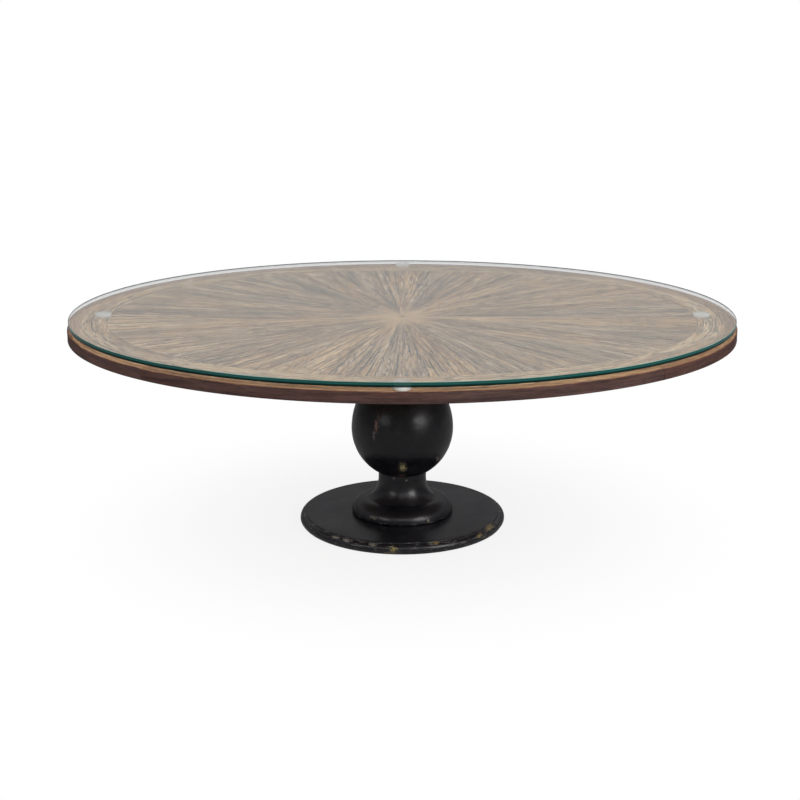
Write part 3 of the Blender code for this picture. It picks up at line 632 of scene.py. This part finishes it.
def border_board(number, word, material):
    """One curved board of the border: its section, carried along a quarter of the oval, has a cracked
    top, an arris rubbed round by an uneven amount, a hand-planed edge, and the rebate that laps over the
    core."""
    step = 2 * math.pi / len(BORDER_SIDES)
    seed = 4000 + 57 * number
    ends = (number + 0.5) * step + np.array([0.0, step])
    pace = np.hypot(HALF_LENGTH * np.sin(ends), HALF_WIDTH * np.cos(ends))
    ends += np.array([1, -1]) * BOARD_GAP / 2 / pace
    along = np.linspace(0.0, 1.0, BORDER_ROWS)[:, None]
    turn = ends[0] + (ends[1] - ends[0]) * along
    mid_x, mid_y = oval(BORDER_WIDTH / 2, turn[:, 0])
    travelled = np.concatenate([[0.0], np.cumsum(np.hypot(np.diff(mid_x), np.diff(mid_y)))])[:, None]
    across, opens, sides = cracked_columns(along, np.full_like(along, BORDER_WIDTH), 4, seed)
    sides[:, across.shape[1] // 2:] = 0.0
    rub = 0.0032 + 0.0020 * value_noise(travelled * 9, np.zeros_like(travelled), seed + 3) ** 2
    rub += 0.0012 * value_noise(travelled * 45, np.ones_like(travelled), seed + 4) ** 3
    plane = 0.0012 * value_noise(travelled * 7, np.zeros_like(travelled) + 2.0, seed + 5)
    inset = BORDER_WIDTH + across * (rub + plane - BORDER_WIDTH)
    drop = sunk(travelled + np.zeros_like(inset), inset, opens, sides, BORDER_WIDTH, seed)
    drop *= np.clip((1 - across) / 0.04, 0, 1)
    bend = np.radians(np.linspace(0.0, 90.0, 7))[None, 1:]
    arris_inset = plane + rub * (1 - np.sin(bend))
    arris_z = WOOD_TOP - rub * (1 - np.cos(bend))
    face = np.linspace(0.0, 1.0, 9)[None, 1:]
    face_z = arris_z[:, -1:] + (EDGE_BOTTOM + 0.0015 - arris_z[:, -1:]) * face
    scrape = 0.0007 * value_noise(travelled * 4, face * 5 + np.zeros_like(travelled), seed + 6)
    face_inset = plane + scrape * np.sin(np.pi * face)
    fixed = np.array([
        (0.0030, EDGE_BOTTOM), (0.020, EDGE_BOTTOM), (BORDER_SHOULDER, EDGE_BOTTOM),
        (BORDER_SHOULDER, BOARD_BOTTOM), (BORDER_WIDTH, BOARD_BOTTOM)])
    rest = np.ones_like(along)
    insets = np.concatenate([inset, arris_inset, face_inset, rest * fixed[:, 0]], 1)
    heights = np.concatenate([WOOD_TOP - drop, arris_z, face_z, rest * fixed[:, 1]], 1)
    x, y = oval(insets, turn)
    points = np.stack([x, y, heights], -1)
    columns, tops = insets.shape[1], inset.shape[1]
    below = np.concatenate([
        rub + plane - inset, rub * bend, rub * np.pi / 2 + face * 0.030,
        rest * (0.04, 0.06, 0.09, 0.09, 0.09)], 1)
    none = np.zeros((BORDER_ROWS, columns - tops))
    run = travelled + np.zeros_like(insets)
    curl = 0.016 * value_noise(run * 4, below * 18, seed + 7)
    grain = np.stack([run, below + curl, np.full_like(insets, 41.0 + number)], -1)
    piece = skin(
        "oval_border_" + word, points, [material], caps=True, grain=grain, below_arris=below,
        # painted shade: the crack mark darkens the open cracks and, more lightly, the eased inner side
        crack=np.concatenate([opens + 0.3 * sides, none], 1),
        tone=np.full((BORDER_ROWS, columns), 0.45 + 0.12 * number),
    )
    put_in_place(piece, "table", "edge_oak", "border_board_" + word)


def glass_plate(faces, edge):
    """The oval glass plate: four rings of the oval at its two eased edges, and two flat faces."""
    turn = np.linspace(0.0, 2 * math.pi, 288, endpoint=False)[None]
    inset = GLASS_INSET + np.array([GLASS_ARRIS, 0.0, 0.0, GLASS_ARRIS])[:, None]
    thick = GLASS_TOP - GLASS_BOTTOM
    rise = np.array([0.0, GLASS_ARRIS, thick - GLASS_ARRIS, thick])[:, None]
    x, y = oval(inset, turn)
    points = np.stack([x, y, GLASS_BOTTOM + rise + np.zeros_like(x)], -1)
    piece = skin("glass_plate", points, [faces, edge], caps=True, cap_slot=0, quad_slot=1, sharp=25)
    put_in_place(piece, "glass", "glass", "glass_top")


def pad(word, wall, face):
    """A silicone disc under the glass: a level ring carried through a barrel profile,
    r = R - 1.2 mm * (2h - 1)^4."""
    low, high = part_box("glass_pad_" + word)
    middle, radius = (low + high) / 2, (high.x - low.x) / 2
    turn = np.linspace(0.0, 2 * math.pi, 48, endpoint=False)[None]
    share = np.linspace(0.0, 1.0, 9)[:, None]
    ring = radius - 0.0012 * (2 * share - 1) ** 4
    points = np.stack([
        middle.x + ring * np.cos(turn), middle.y + ring * np.sin(turn),
        low.z + (high.z - low.z) * share + np.zeros_like(turn)], -1)
    piece = skin("silicone_disc_" + word, points, [wall, face], caps=True, cap_slot=1, sharp=50)
    put_in_place(piece, "table", "pad", "glass_pad_" + word)


def turned(name, profile, knocks, material, node):
    """A piece turned on the lathe: its closed profile of (radius, height) carried round the axis, with
    shallow knocks that only take wood away: depth = knocks * n^4, n a smooth noise round and up the
    piece. The wear mark is 1 where the profile bends outwards in less than 12 mm of
    radius, and 0 where that is over 50 mm; the paint greys there, partly rubbed paint and partly a
    painted highlight."""
    behind, ahead = profile - np.roll(profile, 1, 0), np.roll(profile, -1, 0) - profile
    bend = np.arctan2(behind[:, 1] * ahead[:, 0] - behind[:, 0] * ahead[:, 1], (behind * ahead).sum(1))
    tight = bend / np.maximum((np.hypot(*behind.T) + np.hypot(*ahead.T)) / 2, 1e-6)
    # Tight outward bends: where the paint is rubbed and where a painted highlight goes
    wear = np.clip((tight - 20.0) / 60.0, 0, 1)
    turn = np.linspace(0.0, 2 * math.pi, ROUND_STEPS, endpoint=False)[:, None]
    radius, height = profile[None, :, 0], profile[None, :, 1]
    cells = 36
    noise = value_noise(turn / (2 * math.pi) * cells, height * 70 + radius * 70, len(name) + 11, cells)
    outer = np.clip((radius - SPIGOT_RADIUS - 0.004) / 0.01, 0, 1)
    ring = radius - knocks * outer * noise ** 4
    points = np.stack([ring * np.cos(turn), ring * np.sin(turn), height + np.zeros_like(ring)], -1)
    piece = skin(name, points, [material], rows_close=True, sharp=38,
                 wear=wear[None] + np.zeros_like(ring))
    put_in_place(piece, "table", "black_paint", node)


def pedestal(material):
    """The four turned pieces, from the floor up, each from straight lines and elliptical arcs."""
    roll = (BASE_TOP - RIM_QUIRK) / 2
    rim, foot = BASE_RADIUS - RIM_WIDTH, BASE_RADIUS - roll
    groove = BASE_TOP - QUIRK_DEPTH
    turned("round_foot", np.concatenate([
        straight((BORE_RADIUS, BASE_TOP), (rim - FOOT_ARRIS_INSET, BASE_TOP), 24),
        arc((rim - FOOT_ARRIS_INSET, BASE_TOP - FOOT_ARRIS), (FOOT_ARRIS, FOOT_ARRIS), 90, 0, 5),
        [(rim + QUIRK_FROM, groove), (rim + QUIRK_TO, groove)],
        arc((foot, roll), (roll, roll), 104, -90, 28),
        straight((foot - FOOT_LANDING, 0.0), (POCKET_RADIUS, 0.0), 10),
        [(POCKET_RADIUS, 0.0), (POCKET_RADIUS, POCKET_ROOF), (BORE_RADIUS, POCKET_ROOF)],
    ]), knocks=0.0016, material=material, node="base_plate")
    neck_top = BALL_BOTTOM - FIT
    collar_top, widest = NECK_BOTTOM + COLLAR_HEIGHT, NECK_BOTTOM + COLLAR_UNDERCUT
    shoulder, sweep = COLLAR_RADIUS - COLLAR_SHOULDER, math.radians(FLARE_SWEEP)
    flare = (shoulder - COLLAR_LEDGE - NECK_RADIUS) / (1 - math.cos(sweep))
    flare_top = collar_top + FLARE_HEIGHT
    turned("turned_neck_and_collar", np.concatenate([
        [(BORE_RADIUS, neck_top + SPIGOT_LENGTH), (SPIGOT_RADIUS, neck_top + SPIGOT_LENGTH)],
        [(SPIGOT_RADIUS, neck_top)],
        straight((NECK_RADIUS, neck_top), (NECK_RADIUS, flare_top), 8),
        arc((NECK_RADIUS + flare, flare_top), (flare, FLARE_HEIGHT / math.sin(sweep)),
            180, 180 + FLARE_SWEEP, 22),
        arc((shoulder, widest), (COLLAR_SHOULDER, collar_top - widest), 90, 0, 26),
        arc((COLLAR_RADIUS - COLLAR_UNDERCUT, widest), (COLLAR_UNDERCUT, COLLAR_UNDERCUT),
            0, -90, 9)[1:],
        [(BORE_RADIUS, NECK_BOTTOM)],
    ]), knocks=0.0012, material=material, node="neck_and_collar")
    upper = math.degrees(math.acos((CAPITAL_NECK + BALL_LIP) / BALL_RADIUS))
    lower = math.degrees(math.acos((NECK_RADIUS + BALL_LIP) / BALL_RADIUS))
    socket = SPIGOT_RADIUS + FIT
    turned("turned_ball", np.concatenate([
        arc((0.0, BALL_MIDDLE), (BALL_RADIUS, BALL_UPPER_RISE), upper, 0, 36),
        arc((0.0, BALL_MIDDLE), (BALL_RADIUS, BALL_LOWER_RISE), 0, -lower, 36)[1:],
        [(socket, BALL_BOTTOM), (socket, BALL_BOTTOM + SPIGOT_LENGTH + FIT)],
        [(BORE_RADIUS, BALL_BOTTOM + SPIGOT_LENGTH + FIT)],
        [(BORE_RADIUS, BALL_TOP - SPIGOT_LENGTH - FIT)],
        [(socket, BALL_TOP - SPIGOT_LENGTH - FIT), (socket, BALL_TOP)],
    ]), knocks=0.0010, material=material, node="ball")
    capital_bottom = BALL_TOP + FIT
    band = CAPITAL_TOP - CAPITAL_BAND
    turned("turned_capital", np.concatenate([
        [(BORE_RADIUS, CAPITAL_TOP), (CAPITAL_RADIUS - CAPITAL_ARRIS, CAPITAL_TOP)],
        [(CAPITAL_RADIUS, CAPITAL_TOP - CAPITAL_ARRIS)],
        arc((CAPITAL_RADIUS, capital_bottom), (CAPITAL_RADIUS - CAPITAL_NECK, band - capital_bottom),
            90, 180, 20),
        [(SPIGOT_RADIUS, capital_bottom), (SPIGOT_RADIUS, capital_bottom - SPIGOT_LENGTH)],
        [(BORE_RADIUS, capital_bottom - SPIGOT_LENGTH)],
    ]), knocks=0.0008, material=material, node="capital")


def dress_hidden_pieces():
    """Finishes for the CAD pieces that stay: the core, the beams and the steel under the top."""
    steel, lengthwise = zinc_steel(), sawn_timber("sawn_timber_lengthwise", 0.0)
    crosswise = sawn_timber("sawn_timber_crosswise", math.pi / 2)
    finishes = {"core_panel": lengthwise, "beam_long": lengthwise, "beam_short": crosswise}
    steel_words = ("mount_plate", "lag_screw", "core_screw", "tie_rod", "rod_washer", "rod_nut")
    for node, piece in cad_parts.items():
        finish = steel if node.startswith(steel_words) else finishes.get(node)
        if finish:
            piece.data.materials.clear()
            piece.data.materials.append(finish)


def studio_floor():
    """A pale floor: white paper that keeps the shadow near the table and is lost in the white backdrop
    further out. In reflections it shows grey, a painted shade for the floor lying in shadow under the
    table."""
    turn = np.linspace(0.0, 2 * math.pi, 64, endpoint=False)
    mesh = bpy.data.meshes.new("studio_floor")
    ring = np.stack([60 * np.cos(turn), 60 * np.sin(turn), np.full_like(turn, -0.0006)], -1)
    mesh.from_pydata(ring.tolist(), [], [list(range(len(turn)))])
    floor = bpy.data.objects.new("studio_floor", mesh)
    bpy.context.scene.collection.objects.link(floor)
    material, tree, shader = blank("white_paper_floor")
    shader.inputs["Base Color"].default_value = linear("#E9E9E9")
    shader.inputs["Roughness"].default_value = 0.9
    shader.inputs["Specular IOR Level"].default_value = 0.0
    place = add(tree, "TexCoord").outputs["Object"]
    away = add(tree, "VectorMath", {"operation": "LENGTH"}, n0=place).outputs["Value"]
    paper = add(tree, "MapRange", SMOOTH, Value=away, From_Min=0.3, From_Max=1.4,
                To_Min=0.86, To_Max=1.0).outputs[0]
    path = add(tree, "LightPath")
    seen = add(tree, "Math", LARGER, n0=path.outputs["Is Camera Ray"], n1=path.outputs["Is Glossy Ray"])
    seen = add(tree, "Math", LARGER, n0=seen.outputs[0], n1=path.outputs["Is Transmission Ray"])
    share = add(tree, "Math", TIMES, n0=seen.outputs[0], n1=paper).outputs[0]
    # Painted shade: reflection rays see the floor grey instead of white, for its shade under the table
    floor_grey_in_reflections = add(tree, "Mix", COLOURS, n0=path.outputs["Is Reflection Ray"], n6=linear("#FFFFFF"),
                n7=linear("#8A8A8A")).outputs[2]
    white = add(tree, "Emission", Color=floor_grey_in_reflections, Strength=1.0).outputs[0]
    both = add(tree, "MixShader", n0=share, n1=shader.outputs[0], n2=white).outputs[0]
    tree.links.new(both, tree.nodes["Material Output"].inputs["Surface"])
    mesh.materials.append(material)


def soft_box(name, place, aim, size, glow):
    """A soft box: a glowing rectangle square to its aim, place + u * width * side + v * height * rise,
    with u and v from -1/2 to 1/2. Its back is clear. So is its front to the sharp mirror of flat glass,
    where it would stand as a hard white square and hide the table."""
    gaze = (aim - place) / np.linalg.norm(aim - place)
    side = np.cross(gaze, (0.0, 0.0, 1.0))
    side /= np.linalg.norm(side)
    rise = np.cross(side, gaze)
    u, v = np.array([[0.5], [-0.5], [-0.5], [0.5]]), np.array([[-0.5], [-0.5], [0.5], [0.5]])
    corners = place + u * size[0] * side + v * size[1] * rise
    mesh = bpy.data.meshes.new(name)
    mesh.from_pydata(corners.tolist(), [], [(0, 1, 2, 3)])
    material, tree, shader = blank("glowing_cloth_of_" + name)
    tree.nodes.remove(shader)
    light = add(tree, "Emission", Strength=glow).outputs[0]
    clear = add(tree, "BsdfTransparent").outputs[0]
    mirror = add(tree, "LightPath").outputs["Is Singular Ray"]
    front = add(tree, "MixShader", n0=mirror, n1=light, n2=clear).outputs[0]
    back = add(tree, "NewGeometry").outputs["Backfacing"]
    whole = add(tree, "MixShader", n0=back, n1=front, n2=clear).outputs[0]
    tree.links.new(whole, tree.nodes["Material Output"].inputs["Surface"])
    material.cycles.emission_sampling = "FRONT"
    mesh.materials.append(material)
    box = bpy.data.objects.new(name, mesh)
    bpy.context.scene.collection.objects.link(box)
    box.visible_camera = box.visible_shadow = False


def studio_light():
    """White backdrop for the camera and through the glass, a dimmer studio in reflections, and soft
    light: a box at each side of the viewer, a wide weak one above the viewer, and a broad lamp overhead."""
    world = bpy.data.worlds.new("studio")
    bpy.context.scene.world = world
    world.use_nodes = True
    tree = world.node_tree
    tree.nodes.clear()
    path = add(tree, "LightPath")
    way = add(tree, "TexCoord").outputs["Generated"]
    up = add(tree, "SeparateXYZ", Vector=way).outputs["Z"]
    room = add(tree, "ValToRGB", {"stops": (
        (0.0, "#8A8A8A"), (0.52, "#505052"), (0.56, "#5A5A5C"), (0.60, "#77787A"), (0.63, "#77787A"),
        (0.67, "#98989B"), (0.75, "#A8A8AA"), (1.0, "#B4B4B4"))})
    level = add(tree, "MapRange", Value=up, From_Min=-1.0, From_Max=1.0).outputs[0]
    tree.links.new(level, room.inputs[0])
    mirrored = add(tree, "Background", Color=room.outputs[0], Strength=1.0).outputs[0]
    white = add(tree, "Background", Color=(1.0, 1.0, 1.0, 1.0), Strength=1.0).outputs[0]
    fill = add(tree, "Background", Color=linear("#F4F6FA"), Strength=0.5).outputs[0]
    seen = add(tree, "Math", LARGER, n0=path.outputs["Is Camera Ray"],
               n1=path.outputs["Is Transmission Ray"]).outputs[0]
    lit = add(tree, "MixShader", n0=path.outputs["Is Glossy Ray"], n1=fill, n2=mirrored).outputs[0]
    whole = add(tree, "MixShader", n0=seen, n1=lit, n2=white).outputs[0]
    out = add(tree, "OutputWorld")
    tree.links.new(whole, out.inputs["Surface"])
    for name, place, aim, size, glow in (
        ("left_box", (-3.4, -3.6, 2.25), (0.0, 0.0, 0.5), (1.6, 1.5), 2.92),
        ("right_box", (3.4, -3.6, 2.25), (0.0, 0.0, 0.5), (2.2, 1.9), 7.31),
        ("front_box", (0.0, -5.0, 3.0), (0.0, 0.0, 0.1), (3.2, 1.2), 1.74),
    ):
        soft_box(name, np.array(place), np.array(aim), size, glow)
    lamp = bpy.data.lights.new("overhead_box", "AREA")
    lamp.shape, lamp.size, lamp.size_y, lamp.energy = "RECTANGLE", 4.2, 3.0, 57.0
    overhead = bpy.data.objects.new("overhead_box", lamp)
    bpy.context.scene.collection.objects.link(overhead)
    overhead.location = (0.0, 0.3, 3.9)
    overhead.visible_camera = overhead.visible_glossy = False


def viewer():
    """The camera: 6 m in front of the table, above eye height, tipped down by 15.8 degrees."""
    lens = bpy.data.cameras.new("viewer")
    lens.sensor_width = SENSOR_WIDTH
    lens.lens = FOCAL_PIXELS * SENSOR_WIDTH / FRAME_PIXELS
    lens.shift_x = SHIFT_PIXELS / FRAME_PIXELS
    eye = bpy.data.objects.new("viewer", lens)
    bpy.context.scene.collection.objects.link(eye)
    eye.location = EYE_PLACE
    eye.rotation_euler = (math.pi / 2 - EYE_DIP, 0.0, 0.0)
    bpy.context.scene.camera = eye


viewer()
studio_light()
studio_floor()
bpy.context.scene.view_settings.view_transform = "Standard"
star_oak = weathered_oak("weathered_oak_boards", stained_edge=False)
edge_oak = weathered_oak("weathered_oak_with_stained_edge", stained_edge=True)
for board in range(STAR_BOARDS):
    star_board(board, star_oak)
for side, side_word in enumerate(BORDER_SIDES):
    border_board(side, side_word, edge_oak)
glass_plate(clear_glass(), glass_edge())
milky, hazy, clear = (silicone(*look) for look in (
    ("milky_silicone", 0.65), ("hazy_silicone", 0.40), ("clear_silicone", 0.06)))
for side_word in BORDER_SIDES:
    pad(side_word, milky, hazy if side_word in ("left", "right") else clear)
pedestal(black_painted_wood())
dress_hidden_pieces()
